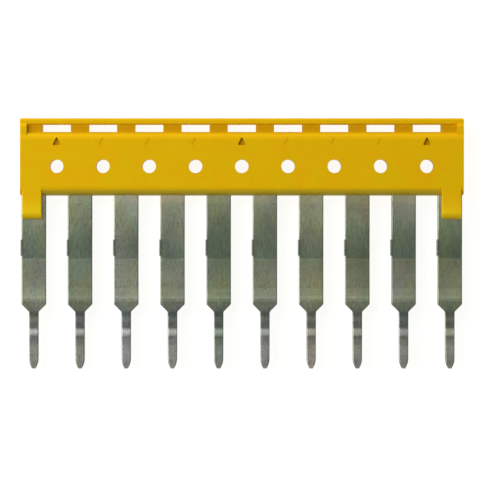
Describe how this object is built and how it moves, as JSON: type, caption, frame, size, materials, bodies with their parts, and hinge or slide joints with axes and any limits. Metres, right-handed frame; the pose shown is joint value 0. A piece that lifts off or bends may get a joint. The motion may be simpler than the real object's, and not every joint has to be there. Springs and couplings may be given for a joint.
{
  "type": "terminal block jumper bar",
  "caption": "Plug-in jumper bar for rail terminal blocks: flat yellow moulded grip with slots and holes, over a folded tinned-copper comb of narrow spring pins.",
  "frame": {"origin": "centre of the bounding box in X and Y, on the rear face at Z = 0, which the bar lies on", "axes": "+X along the bar, from the side of the poles' nibs to the other end; +Y towards the grip rail, with the pins pointing to -Y; +Z through the thickness, out of the front face with the index marks"},
  "size_m": [0.049, 0.0276, 0.0028],
  "materials": {
    "yellow_polyamide": "satin moulded polyamide, yellow",
    "tinned_copper": "dull grey tin plate on rolled copper sheet"
  },
  "bodies": {
    "root": {"insulating_body": "yellow_polyamide", "contact_comb": "tinned_copper"}
  },
  "joints": []
}
